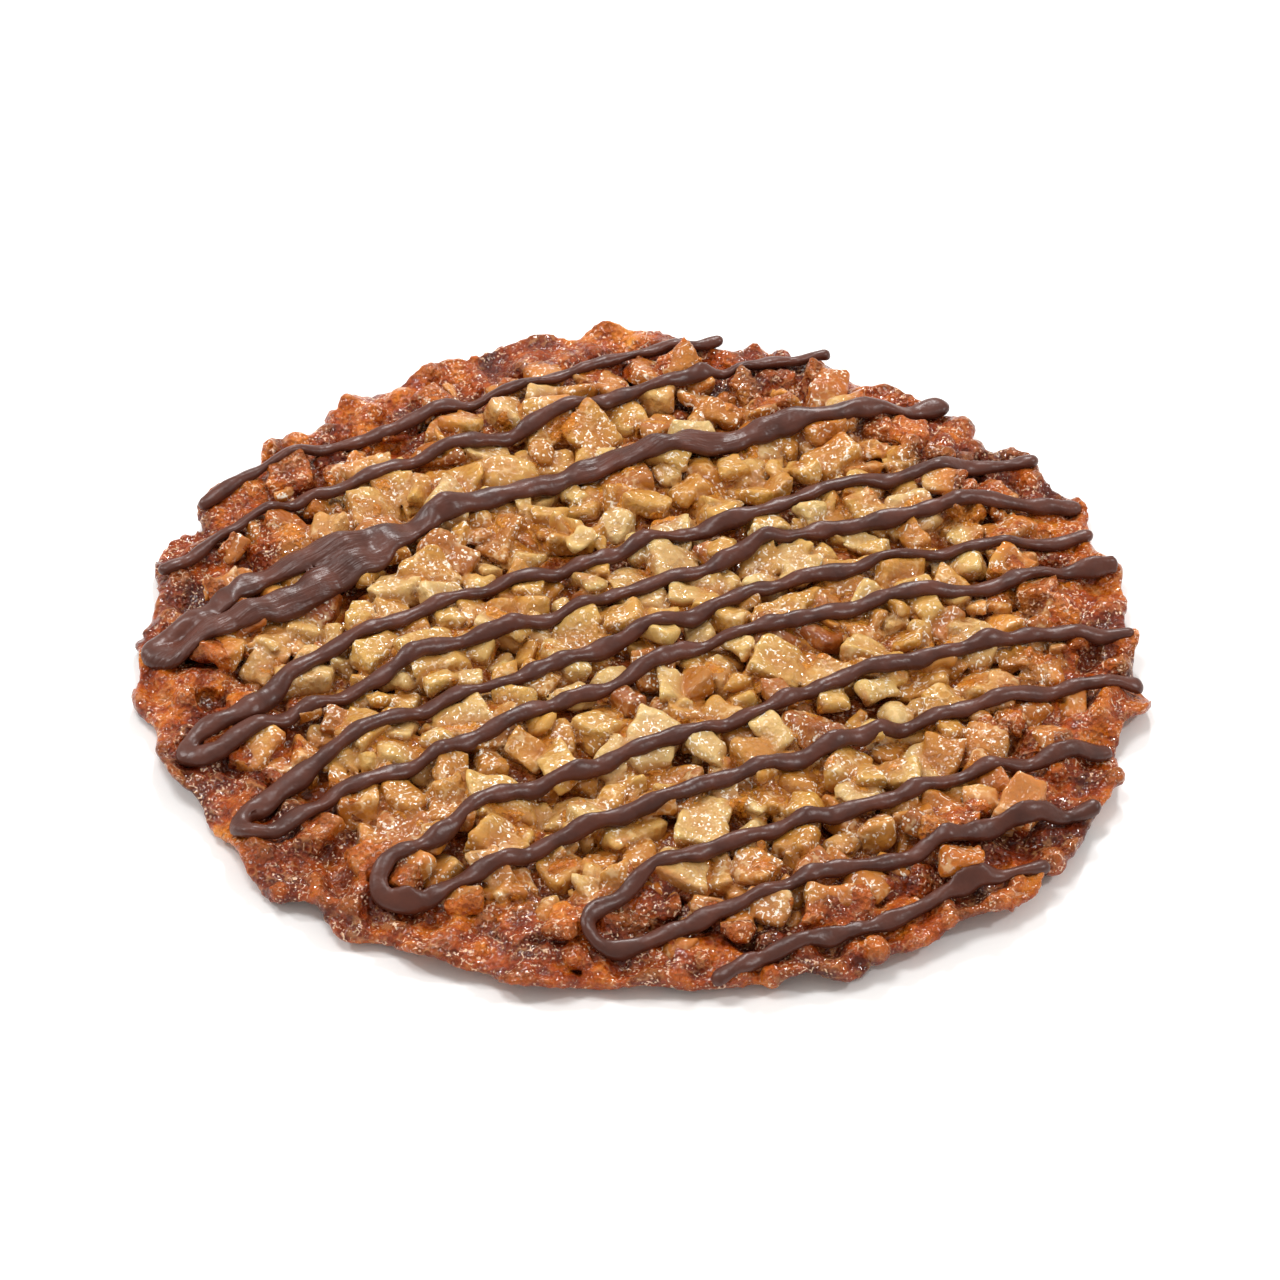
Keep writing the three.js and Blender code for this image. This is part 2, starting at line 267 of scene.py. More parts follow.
def crumb_at(index):
    """Size and place of a crumb of nut, on a spiral of its own."""
    share = CRUMB_BAND * math.sqrt((index + 0.5) / CRUMBS)
    angle = index * GOLDEN_ANGLE + 1.3 * scatter(index, 41)
    reach = share * rim_radius(angle)
    x, y = reach * math.cos(angle), reach * math.sin(angle)
    length = between(CRUMB_LENGTH, scatter(index, 42))
    half = length * np.array([1, between(CRUMB_WIDTH, scatter(index, 43)), CRUMB_HEIGHT]) / 2
    centre = caramel_top(x, y) + between(CRUMB_PROUD, scatter(index, 44)) - half[2] / 2
    tilt, lean = (scatter(index, purpose) - 0.5 for purpose in (45, 46))
    return {
        "index": index + NUT_SLOTS,
        "half": half,
        "place": np.array([x, y, centre]),
        "turn": turned(tilt, lean, scatter(index, 47) * 2 * math.pi),
    }


def turned(tilt, lean, spin):
    """A turn by three angles, as a matrix."""
    spun = Matrix.Rotation(spin, 3, "Z") @ Matrix.Rotation(tilt, 3, "X")
    return np.array(spun @ Matrix.Rotation(lean, 3, "Y"))


def nuts():
    """The nut pieces that lie inside the lace rim, and the crumbs."""
    slots = [nut_at(index) for index in range(NUT_SLOTS)]
    chopped = [n for n in slots if share_of(*n["place"][:2]) + 0.6 * n["half"][0] / RADIUS < NUT_BAND]
    return chopped + [crumb_at(index) for index in range(CRUMBS)]


def nut_corners(nut):
    """The corners of a nut piece: those of a block, each moved in or out by its own amounts."""
    block = np.array(list(itertools.product((-1, 1), repeat=3)), float)
    first = nut["index"] * block.size
    reach = [between(NUT_REACH, scatter(first + number, 11)) for number in range(block.size)]
    corners = (block * np.reshape(reach, block.shape) * nut["half"]) @ nut["turn"].T + nut["place"]
    corners[:, 2] += max(0, NUT_FLOOR - corners[:, 2].min())
    return corners


def hull_planes(corners):
    """The outward planes round a few points, as unit normals and offsets."""
    trios = np.array(list(itertools.combinations(range(len(corners)), 3)))
    a, b, c = (corners[trios[:, k]] for k in range(3))
    normals = np.cross(b - a, c - a)
    normals /= np.linalg.norm(normals, axis=1)[:, None]
    sides = corners @ normals.T - (a * normals).sum(1)
    outward = (sides < 1e-6).all(0)
    inward = (sides > -1e-6).all(0)
    normals = np.concatenate([normals[outward], -normals[inward]])
    return normals, (normals @ corners.T).max(1)


ROUNDING = 0.12  # how soft the corners of a nut are
PLUMP = 0.16  # how far a nut's faces stand out again for what the soft corners took
SMOOTH_NUTS = 0.05  # share of the pieces that keep a natural rounded face
WARP = 0.16  # how far a nut's faces stray from flat
SMALL_NUT = 1.6  # half length under which a nut's corners are less soft and its faces less warped
RELIEF = 0.035  # fine unevenness of a nut's faces
CREVICE = 0.3  # depth of the groove where two pieces meet
CREVICE_WIDTH = 0.35
NUT_CLEARANCE = 0.2  # of the nuts above the underside


def rounded_distance(nut, middle, place):
    """Distances to a nut that kept its natural rounded face."""
    offset = [axis - centre for axis, centre in zip(place, middle)]
    turn, half = nut["turn"], nut["half"]
    local = [sum(turn[k][m] * offset[k] for k in range(3)) / half[m] for m in range(3)]
    return (np.sqrt(sum(axis ** 2 for axis in local)) - 1) * half[2]


def block_distance(corners, place, small):
    """Distances to a cut nut, with soft corners."""
    rounding = ROUNDING * small
    total = 0
    for normal, limit in zip(*hull_planes(corners)):
        side = normal[0] * place[0] + normal[1] * place[1] + normal[2] * place[2]
        total = total + np.exp((side - limit - PLUMP * small) / rounding)
    return rounding * np.log(total)


def nut_field():
    """Distances to the nuts, and the tone of the nearest, from 0, pale, to 1, toasted."""
    field = np.full(COUNT, 1.0, np.float32)
    second = np.full(COUNT, 1.0, np.float32)
    tone = np.full(COUNT, 0.5, np.float32)
    warp = [WARP * noise(COUNT, 4.5, seed) for seed in (11, 12, 13)]
    fine = noise(COUNT, 1.3, 14)
    for nut in nuts():
        if nut["index"] >= NUT_SLOTS and sampled(field, nut["place"][None])[0] < CRUMB_ROOM:
            continue
        corners = nut_corners(nut)
        half = nut["half"][0]
        box = window(nut["place"], half * 1.3 + 0.9)  # past its corners and their warp
        small = min(1, half / SMALL_NUT)
        place = [
            X[box[0]] + small * warp[0][box],
            Y[:, box[1]] + small * warp[1][box],
            Z[:, :, box[2]] + small * warp[2][box],
        ]
        if scatter(nut["index"], 12) < SMOOTH_NUTS:
            distance = rounded_distance(nut, corners.mean(0), place)
        else:
            distance = block_distance(corners, place, small)
        distance = distance + RELIEF * fine[box]
        nearer = distance < field[box]
        tone[box][nearer] = scatter(nut["index"], 13)
        second[box] = np.minimum(second[box], np.maximum(field[box], distance))
        field[box] = np.minimum(field[box], distance)
    field += CREVICE * np.exp(-(((second - field) / CREVICE_WIDTH) ** 2))
    return np.maximum(field, NUT_CLEARANCE - Z), tone


# ---------------------------------------------------------------- caramel

COAT = (-0.45, 0.12)  # how far the caramel lies over the nuts, in the middle and at the rim
FILM = 0.8  # how fully the caramel's loose patches cover the nuts of the middle
LEAST_THICKNESS = 0.85
FILLET = 0.35  # how softly the caramel climbs the nuts
GLAZE_REACH = 0.8  # over how far the syrup that ran between the nuts levels them
GLAZE_DEPTH = 0.1  # how far under the nuts' flat faces it stays
RAGGED = [  # swing, length and seed of the rim's small waves
    (0.4, 6.0, 21), (0.1, 2.6, 22), (0.03, 1.3, 23),
]
EDGE_INSET = 0.3  # of the rim, for what its small waves and soft edge add
EDGE_BLUR = 0.55
EDGE_ROUNDING = 0.6
LACE_BAND = (0.68, 0.88)  # shares of the radius between which the filled middle turns to lace
COAT_BAND = (0.68, 0.9)  # and between which the caramel comes to cover the nuts
CURL_BAND = (0.86, 1.0)  # and between which it curls up
RIM_CURL = 0.45
WAVES, LACE_WAVES = 0.12, 0.26  # swing of the top's waves, and what the lace adds
RIPPLES, LACE_RIPPLES = 0.05, 0.03
MIDDLE_SINK = 0.05
COAT_WAVES = 0.06
GRAIN = 0.02
BUBBLE_BLEND = 0.15  # how softly bubbles and syrup join what is round them
PIT_BLEND = 0.16
FOOT_BLEND = 0.12
BLISTERS = 260
BLISTER_BAND = (0.55, 0.99)
BLISTER_RADIUS = (0.5, 1.5)
BLISTER_MARGIN = 0.4  # by which a blister may stand out over the rim
PITS = 120
PIT_BAND = (0.5, 0.95)
PIT_RADIUS = (0.8, 2.6)
PIT_MARGIN = 0.9  # what a pit leaves of the rim
PIT_FLOOR = 0.8  # what it leaves under it
PIT_CLEARANCE = 0.6  # of its bottom from the nuts
HOLES = 4
HOLE_BAND = (0.84, 0.92)
HOLE_RADIUS = (0.45, 0.85)
HOLE_CLEARANCE = 0.95  # of a hole from the nuts
HOLE_RAISE = 0.5  # of its middle over the underside
HOLE_STRETCH = 0.35  # of heights in it, which makes it deeper than wide
FOOT_BUBBLES = 520
FOOT_BAND = (0.02, 0.9)
FOOT_RADIUS = (0.5, 3.0)
FOOT_DEPTH = 0.45


def spiral_place(index, count, band, purpose):
    """A place on a spiral that fills a band of shares of the radius evenly, with some scatter."""
    share = math.sqrt(between((band[0] ** 2, band[1] ** 2), (index + scatter(index, purpose)) / count))
    angle = index * GOLDEN_ANGLE + 0.9 * scatter(index, purpose + 1)
    reach = share * float(rim_radius(angle))
    return reach * math.cos(angle), reach * math.sin(angle)


def carve(field, centre, radius, blend, stretch=1.0):
    """Takes a ball out of a field."""
    box = window(np.array(centre), radius + 4 * blend)
    field[box] = smooth_max(field[box], radius - ball(box, centre, stretch), blend)


def swell_out(field, centre, radius, blend):
    """Adds a ball to a field."""
    box = window(np.array(centre), radius + 4 * blend)
    field[box] = smooth_min(field[box], ball(box, centre) - radius, blend)


def caramel_field(nut_distance):
    """Distances to the caramel lace, and how far it lies over the nuts at each place."""
    flat = COUNT[:2]
    ragged = sum(swing * noise(flat, length, seed) for swing, length, seed in RAGGED)
    lace = smooth_step(*LACE_BAND, SHARE + 0.03 * noise(flat, 9.0, 24))
    curl = RIM_CURL * smooth_step(*CURL_BAND, SHARE) * (1 + noise(flat, 9.0, 25))
    under = UNDER + curl
    top = TOP + curl + (WAVES + LACE_WAVES * lace) * noise(flat, 4.0, 26)
    top = top + (RIPPLES + LACE_RIPPLES * lace) * noise(flat, 1.8, 27)
    top -= MIDDLE_SINK * (1 - lace)
    top = np.maximum(top, under + LEAST_THICKNESS)
    rim = rim_radius(np.arctan2(FLAT_Y, FLAT_X))
    edge = blurred(np.hypot(FLAT_X, FLAT_Y) - rim - ragged + EDGE_INSET, EDGE_BLUR)
    slab = np.maximum(under[:, :, None] - Z, Z - top[:, :, None])
    slab = smooth_max(slab, edge[:, :, None], EDGE_ROUNDING)
    uneven = SHARE + 0.06 * noise(flat, 11.0, 28) + 0.03 * noise(flat, 4.0, 29)
    ring = smooth_step(*COAT_BAND, uneven)
    film = smooth_step(1.1, 1.8, noise(flat, 6.0, 32))
    coat = between(COAT, np.maximum(ring, FILM * film))
    wavy_coat = coat[:, :, None] + COAT_WAVES * noise(COUNT, 2.4, 30)
    field = smooth_min(slab, nut_distance - wavy_coat, FILLET)
    field = smooth_min(field, blurred(nut_distance, GLAZE_REACH) + GLAZE_DEPTH, BUBBLE_BLEND)
    add_blisters(field, top)
    carve_pits(field, nut_distance, under, top)
    carve_holes(field, nut_distance, under)
    carve_foot(field, under)
    grain = (GRAIN + GRAIN * lace)[:, :, None]
    field += grain * noise(COUNT, 1.0, 31)
    return np.maximum(field, -Z), coat


def value_at(field, *place):
    """The value of a field at one place."""
    return float(sampled(field, np.array([place]))[0])


def room_at(x, y):
    """How far a place is from the rim."""
    return RADIUS * (1 - float(share_of(x, y)))


def add_blisters(field, top):
    """Blisters on the outer part of the top."""
    for index in range(BLISTERS):
        x, y = spiral_place(index, BLISTERS, BLISTER_BAND, 51)
        radius = min(between(BLISTER_RADIUS, scatter(index, 53) ** 2), room_at(x, y) + BLISTER_MARGIN)
        swell_out(field, (x, y, value_at(top, x, y) - 0.5 * radius), radius, BUBBLE_BLEND)


def carve_pits(field, nut_distance, under, top):
    """Burst bubbles in the outer part of the top, beside the nuts."""
    for index in range(PITS):
        x, y = spiral_place(index, PITS, PIT_BAND, 54)
        most = max(room_at(x, y) - PIT_MARGIN, PIT_RADIUS[0])
        radius = min(between(PIT_RADIUS, scatter(index, 56) ** 1.7), most)
        centre = max(value_at(top, x, y) + 0.5 * radius, value_at(under, x, y) + PIT_FLOOR + radius)
        if value_at(nut_distance, x, y, centre - radius) > PIT_CLEARANCE:
            carve(field, (x, y, centre), radius, PIT_BLEND)


def carve_holes(field, nut_distance, under):
    """Small holes right through the lace."""
    for index in range(HOLES):
        x, y = spiral_place(index, HOLES, HOLE_BAND, 57)
        radius = between(HOLE_RADIUS, scatter(index, 59))
        height = value_at(under, x, y)
        if value_at(nut_distance, x, y, height + radius) > HOLE_CLEARANCE:
            carve(field, (x, y, height + HOLE_RAISE), radius, BUBBLE_BLEND, HOLE_STRETCH)


def carve_foot(field, under):
    """Shallow bubbles in the underside."""
    for index in range(FOOT_BUBBLES):
        x, y = spiral_place(index, FOOT_BUBBLES, FOOT_BAND, 61)
        radius = between(FOOT_RADIUS, scatter(index, 63) ** 2.2)
        depth = min(FOOT_DEPTH, 0.4 * radius)
        carve(field, (x, y, value_at(under, x, y) - radius + depth), radius, FOOT_BLEND)


# ---------------------------------------------------------------- drizzle

def from_drizzle(along, across):
    """Places along and across the drizzle as x and y."""
    cos, sin = math.cos(DRIZZLE_ANGLE), math.sin(DRIZZLE_ANGLE)
    return along * cos - across * sin, along * sin + across * cos


def to_drizzle(x, y):
    """Places as x and y along and across the drizzle."""
    cos, sin = math.cos(DRIZZLE_ANGLE), math.sin(DRIZZLE_ANGLE)
    return x * cos + y * sin, y * cos - x * sin + DRIZZLE_BOW * (x * cos + y * sin) ** 2


def bowed(along, across):
    """Where a line that begins across the middle is, farther along its bow."""
    return across - DRIZZLE_BOW * along * along


def line_ends(across):
    """A line's two ends along its own direction, at the rim."""
    ends = []
    for side in (-1, 1):
        along = side * RADIUS
        for _ in range(12):
            place = bowed(along, across)
            x, y = from_drizzle(along, place)
            end = side * math.sqrt(max(rim_radius(math.atan2(y, x)) ** 2 - place ** 2, 1))
            along = (along + end) / 2
        ends.append(along)
    return ends


def strand_lines(strand, index):
    """Each line of a strand as places along and across, with half of the turn that joins a pair."""
    def wander(along, across):
        """A line's place across, with its bow and its sway."""
        sway = np.sin(0.13 * along + across) + 0.5 * np.sin(0.37 * along + 2 * across + index)
        return bowed(along, across) + STRAND_WANDER * sway

    def drawn(along, across):
        """The same, drawn to its pair at the turn and to any line that it meets."""
        stop = strand.get("stop", 0)
        share = smooth_step(stop - MEETING, stop, along)
        pinch = PINCH * smooth_step(left + PINCH_REACH, left, along)
        closer = pinch * ((lines[0] + lines[-1]) / 2 - across)
        return wander(along, across + closer + (strand.get("meet", across) - across) * share)

    lines = strand["lines"]
    turn = (lines[0] - lines[-1]) / 2
    rim_left = max(line_ends(across)[0] for across in lines)
    left = strand.get("start", rim_left + (TURN_INSET + turn if turn else RIM_GAP))
    routes = []
    for number, across in enumerate(lines):
        right = min(line_ends(across)[1] - RIM_GAP, strand.get("stop", math.inf))
        along = np.arange(left, right, DOT_STEP)
        route = np.stack([along, drawn(along, across)], axis=1)
        if turn:
            middle = (drawn(left, lines[0]) + drawn(left, lines[-1])) / 2
            reach = (drawn(left, lines[0]) - drawn(left, lines[-1])) / 2
            angles = np.arange(math.pi / 2, 0, -DOT_STEP / turn)
            side = 1 if number == 0 else -1
            places = middle + side * reach * np.cos(angles)
            bend = np.stack([left - turn * np.sin(angles), places], axis=1)
            route = np.concatenate([bend, route])
        routes.append((across, route))
    return routes


BEAD = 0.18  # how much a strand's width swings
STRAND_FLATNESS = 0.8  # half height of a strand for its half width
SMEAR_WIDTH = 0.85  # half width above which a strand only gets wider, and hardly higher
SMEAR_FLATNESS = 0.2
STRAND_LIFT = 0.3  # how far a strand's middle is over what it rests on, for its half height
USUAL_WIDTH = 0.9  # half width away from the lines, for the blur
WIDTH_BLUR = 0.6
DRIZZLE_CLEARANCE = 0.1  # of the chocolate from the floor
STREAK = (9.0, 0.9)  # length and width of the marks that a smear was drawn out in
WEB = 0.16  # how readily neighbouring lines run together
FAR = 4.0  # half widths


def half_width(strand, along, across):
    """A line's half width at a place: it swings along the line, and grows where the chocolate ran wide."""
    short_wave = math.sin(1.9 * along + 3 * across + math.sin(0.6 * along))
    long_wave = 0.5 * math.sin(0.83 * along + across)
    width = strand["radius"] * (1 + BEAD * (short_wave + long_wave) / 1.5)
    for line, at, reach, extra in POOLS:
        if line == across:
            width += extra * math.exp(-((along - at) / reach) ** 2)
    return width


def drizzle_field(relief):
    """Distances to the chocolate, resting on a relief of heights, and its half width at each place."""
    flat = COUNT[:2]
    total = np.zeros(flat, np.float32)
    widths = np.full(flat, USUAL_WIDTH, np.float32)
    nearest = np.full(flat, FAR, np.float32)
    for index, strand in enumerate(STRANDS):
        for across, route in strand_lines(strand, index):
            reached = np.full(flat, FAR, np.float32)
            for along, place in route:
                x, y = from_drizzle(along, place)
                radius = half_width(strand, along, across)
                box = window(np.array([x, y, 0]), 2.6 * radius)[:2]
                gap = np.hypot(FLAT_X[box[0]] - x, FLAT_Y[:, box[1]] - y) / radius
                reached[box] = np.minimum(reached[box], gap)
                closer = gap < nearest[box]
                widths[box][closer] = radius
                nearest[box][closer] = gap[closer]
            total += np.exp(-reached / WEB)
    apart = -WEB * np.log(total + 1e-12)
    widths = blurred(widths, WIDTH_BLUR)
    wide = np.maximum(widths - SMEAR_WIDTH, 0)
    thick = (STRAND_FLATNESS * (widths - wide) + SMEAR_FLATNESS * wide)[:, :, None]
    rise = (Z - relief[:, :, None]) / thick - STRAND_LIFT
    outward = np.sqrt(np.maximum(apart, 0)[:, :, None] ** 2 + rise ** 2)
    return np.maximum((outward - 1) * thick, DRIZZLE_CLEARANCE - Z), widths


def top_heights(field):
    """The height of the highest surface of a field at each place, or nothing where there is none."""
    inside = field < 0
    level = COUNT[2] - 2 - np.argmax(inside[:, :, -2::-1], axis=2)
    rows, columns = np.indices(COUNT[:2])
    below, above = field[rows, columns, level], field[rows, columns, level + 1]
    share = below / np.where(below == above, 1, below - above)
    heights = Z[0, 0][level] + STEP * np.clip(share, 0, 1)
    return np.where(inside.any(2), heights, np.nan)


REST_BAND = 0.965  # share of the radius past which the heights go on as they are there
REST_EMPTY = 1.5  # the height where there is no cookie
REST_REACH = 0.7  # how far round a place a strand feels the nuts
STIFFNESS = 0.65  # how far it bridges from nut to nut, and doesn't follow the dips
DROOP_BAND = 0.99  # share of the radius past which it droops
DROOP = 0.25
LEAST_REST = 0.8


def resting_heights(heights):
    """What a soft strand rests at: the nuts' tops near by, smoothed, and past the rim a droop from it."""
    share = np.maximum(SHARE / REST_BAND, 1)
    places = [np.clip(np.round((axis / share - LOW[k]) / STEP).astype(int), 0, COUNT[k] - 1)
              for k, axis in enumerate((FLAT_X, FLAT_Y))]
    spread = np.nan_to_num(heights, nan=REST_EMPTY)[tuple(places)]
    reach = round(REST_REACH / STEP)
    peaks = spread
    for shift in range(-reach, reach + 1):
        peaks = np.maximum(peaks, np.roll(spread, shift, axis=0))
    wide = peaks
    for shift in range(-reach, reach + 1):
        wide = np.maximum(wide, np.roll(peaks, shift, axis=1))
    rest = STIFFNESS * blurred(wide, REST_REACH) + (1 - STIFFNESS) * blurred(spread, REST_REACH)
    past = np.maximum(SHARE - DROOP_BAND, 0) * RADIUS
    return np.maximum(rest - DROOP * past ** 2, LEAST_REST)


# ---------------------------------------------------------------- meshes

def bodies(faces, count):
    """A label for each point, the same for all points of one connected surface."""
    order = np.argsort(faces.ravel(), kind="stable")
    starts = np.searchsorted(faces.ravel()[order], np.arange(count))
    faces_of = order // faces.shape[1]
    labels = np.arange(count)
    while True:
        lowest = np.minimum.reduceat(labels[faces].min(1)[faces_of], starts)
        merged = np.minimum(labels, lowest)
        merged = merged[merged]
        if (merged == labels).all():
            return labels
        labels = merged


def surface(field, smallest):
    """The surface of a field as points in millimetres and faces.

    Bodies of fewer than `smallest` points are left out, and where that is None, all but the largest one.
    """
    grid = openvdb.FloatGrid(1.0)
    grid.copyFromArray(np.ascontiguousarray(np.clip(field, -1, 1), dtype=np.float32))
    points, faces = grid.convertToQuads(0.0)
    labels = bodies(faces, len(points))
    sizes = np.bincount(labels, minlength=len(points))[labels]
    kept = sizes >= (sizes.max() if smallest is None else smallest)
    numbers = np.cumsum(kept) - 1
    faces = numbers[faces[kept[faces[:, 0]]]]
    points = points[kept] * STEP + LOW
    a, b, c = (points[faces[:, k]] for k in (0, 1, 2))
    if (a * np.cross(b, c)).sum() < 0:
        faces = faces[:, ::-1]
    return points, faces


def mesh_of(name, points, faces):
    """A mesh in metres round the cookie's own middle."""
    mesh = bpy.data.meshes.new(name)
    mesh.vertices.add(len(points))
    mesh.vertices.foreach_set("co", ((points - CENTRE) / 1000).astype(np.float32).ravel())
    mesh.loops.add(faces.size)
    mesh.loops.foreach_set("vertex_index", faces.astype(np.int32).ravel())
    mesh.polygons.add(len(faces))
    mesh.polygons.foreach_set("loop_start", np.arange(0, faces.size, faces.shape[1], dtype=np.int32))
    mesh.update(calc_edges=True)
    return mesh


def piece(name, field, smallest=None):
    """A field's surface as an object of at most its number of triangles, and its points in millimetres."""
    points, faces = surface(field, smallest)
    holder = bpy.data.objects.new(name, mesh_of(name, points, faces))
    bpy.context.scene.collection.objects.link(holder)
    share = TRIANGLES[name] / (2 * len(faces))
    if share < 1:
        fewer = holder.modifiers.new("fewer", "DECIMATE")
        fewer.ratio = share
        fewer.use_collapse_triangulate = True
        thinned = holder.evaluated_get(bpy.context.evaluated_depsgraph_get())
        holder.data = bpy.data.meshes.new_from_object(thinned)
        holder.modifiers.clear()
        holder.data.name = name
    mesh = holder.data
    mesh.shade_smooth()
    places = np.empty(3 * len(mesh.vertices), np.float32)
    mesh.vertices.foreach_get("co", places)
    return holder, places.reshape(-1, 3) * 1000 + CENTRE


def attach(holder, **values):
    """Numbers for each point of a mesh, for its material."""
    for name, numbers in values.items():
        attribute = holder.data.attributes.new(name, "FLOAT", "POINT")
        attribute.data.foreach_set("value", numbers.astype(np.float32))


# ---------------------------------------------------------------- materials

def linear(red, green, blue):
    """A colour given as it looks on a screen, as light."""
    channels = (value / 255 for value in (red, green, blue))
    return tuple(c / 12.92 if c <= 0.04045 else ((c + 0.055) / 1.055) ** 2.4 for c in channels) + (1.0,)


class Surface:
    """A node material with one Principled shader, and short names for the nodes that feed it."""

    def __init__(self, name, **settings):
        self.material = bpy.data.materials.new(name)
        self.material.use_nodes = True
        self.tree = self.material.node_tree
        self.shader = self.tree.nodes["Principled BSDF"]
        for socket, value in settings.items():
            self.shader.inputs[socket.replace("_", " ")].default_value = value
        self.place = self.node("ShaderNodeTexCoord").outputs["Object"]

    def node(self, kind, **inputs):
        """A node with its inputs fed by name."""
        made = self.tree.nodes.new(kind)
        for socket, value in inputs.items():
            self.feed(made.inputs[socket.replace("_", " ")], value)
        return made

    def feed(self, socket, value):
        """Links a socket to another, or sets it to a number or colour."""
        if isinstance(value, bpy.types.NodeSocket):
            self.tree.links.new(value, socket)
        else:
            socket.default_value = value

    def attribute(self, name):
        """A number that is stored with the points of the mesh."""
        made = self.node("ShaderNodeAttribute")
        made.attribute_name = name
        return made.outputs["Fac"]

    def noise(self, size, detail=2.0, roughness=0.5):
        """Noise from 0 to 1 whose lumps are about `size` millimetres across."""
        made = self.node("ShaderNodeTexNoise", Vector=self.place, Scale=1000 / size, Detail=detail,
                         Roughness=roughness)
        return made.outputs["Fac"]

    def cells(self, size, feature="F1"):
        """Distances to the points or edges of cells about `size` millimetres across, as shares of it."""
        made = self.node("ShaderNodeTexVoronoi", Vector=self.place, Scale=1000 / size)
        made.feature = feature
        return made.outputs["Distance"]

    def spread(self, value, low, high, to_low=0.0, to_high=1.0):
        """A value from `low` to `high` brought to another range, and kept in it."""
        made = self.tree.nodes.new("ShaderNodeMapRange")
        for socket, number in zip(made.inputs[:5], (value, low, high, to_low, to_high)):
            self.feed(socket, number)
        return made.outputs[0]

    def product(self, a, b):
        """Two values multiplied."""
        return self.calculate("MULTIPLY", a, b)

    def total(self, a, b):
        """Two values added."""
        return self.calculate("ADD", a, b)

    def calculate(self, operation, a, b):
        """One value out of two."""
        made = self.tree.nodes.new("ShaderNodeMath")
        made.operation = operation
        self.feed(made.inputs[0], a)
        self.feed(made.inputs[1], b)
        return made.outputs[0]

    def ramp(self, value, stops):
        """A colour by a value, from stops of values and colours."""
        made = self.node("ShaderNodeValToRGB", Fac=value)
        elements = made.color_ramp.elements
        for number, (place, colour) in enumerate(stops):
            element = elements[number] if number < 2 else elements.new(place)
            element.position = place
            element.color = linear(*colour)
        return made.outputs["Color"]

    def mix(self, share, a, b):
        """Two colours mixed, with such a share of the second."""
        made = self.tree.nodes.new("ShaderNodeMix")
        made.data_type = "RGBA"
        for socket, value in ((0, share), (6, a), (7, b)):
            self.feed(made.inputs[socket], value)
        return made.outputs[2]

    def painted_glints(self, size, patch):
        """Painted glints: fine bright points and broken strokes in loose patches, 0 to 1, standing for the
        sparkle of the wet glaze.
        """
        points = self.spread(self.cells(size), 0.3, 0.16)
        points = self.product(points, self.spread(self.noise(1.2 * size), 0.44, 0.54))
        net = self.spread(self.cells(1.5 * size, "DISTANCE_TO_EDGE"), 0.1, 0.03)
        strokes = self.product(net, self.spread(self.noise(0.9 * size), 0.54, 0.6))
        both = self.calculate("MAXIMUM", points, strokes)
        return self.product(both, self.spread(self.noise(patch), 0.42, 0.56))

    def frost_and_sparkle(self, crystals, patch, low, high):
        """Pale sugar between crystals in loose patches, 0 to 1: partly painted sparkle of the glaze."""
        return self.product(self.spread(crystals, 0.5, 0.75), self.spread(self.noise(patch), low, high))

    def wrinkles(self, size, depth):
        """The soft relief of a sugar glaze, as a normal."""
        height = self.total(self.noise(1.3 * size, detail=1.0), self.product(self.cells(size), 0.5))
        return self.bump(height, depth)

    def bump(self, height, depth):
        """Shading relief `depth` millimetres high."""
        made = self.node("ShaderNodeBump", Height=height, Distance=depth / 1000, Strength=1.0)
        return made.outputs["Normal"]

    def finish(self, colour, normal=None, gloss=None):
        """Feeds the shader; `gloss` is the normal of its clear coat, where that has finer relief."""
        self.feed(self.shader.inputs["Base Color"], colour)
        if normal:
            self.feed(self.shader.inputs["Normal"], normal)
            self.feed(self.shader.inputs["Coat Normal"], gloss or normal)
        return self.material


# Colours of the caramel: in the middle by how far it is from a nut, and at the rim in patches
CARAMEL_MIDDLE = [
    (0.0, (206, 132, 38)), (0.22, (176, 96, 20)), (0.5, (142, 66, 12)), (1.0, (114, 46, 8)),
]
CARAMEL_RIM = [
    (0.36, (84, 24, 4)), (0.46, (120, 40, 3)), (0.55, (164, 68, 4)), (0.66, (204, 110, 18)),
    (0.8, (234, 154, 52)),
]
# Painted shade in the caramel's hollows, partly the darker caramel that pools there
CARAMEL_HOLLOW_SHADE = (84, 24, 4)
# Painted light on the caramel's raised parts
CARAMEL_RIDGE_LIGHT = (206, 120, 38)
# Pale frost between the crystals, partly painted sparkle
CARAMEL_FROST_AND_SPARKLE = (230, 168, 108)
# Painted glints
CARAMEL_PAINTED_GLINT = (255, 218, 184)

# Colours of the nuts, from pale to toasted pieces
NUT_TONES = [
    (0.0, (212, 184, 122)), (0.35, (204, 164, 88)), (0.75, (190, 138, 56)), (0.94, (170, 107, 36)),
    (1.0, (118, 48, 18)),
]
NUT_MOTTLE = (200, 134, 48)
NUT_TOAST = (204, 110, 20)
NUT_SYRUP = (156, 84, 20)
# Pale frost between the crystals, partly painted sparkle
NUT_FROST_AND_SPARKLE = (246, 220, 170)
# Painted glints
NUT_PAINTED_GLINT = (255, 246, 228)

CHOCOLATE = [(0.3, (66, 31, 21)), (0.7, (91, 46, 32))]
# Painted sheen along the smear's streaks
CHOCOLATE_STREAK_SHEEN = (98, 72, 64)


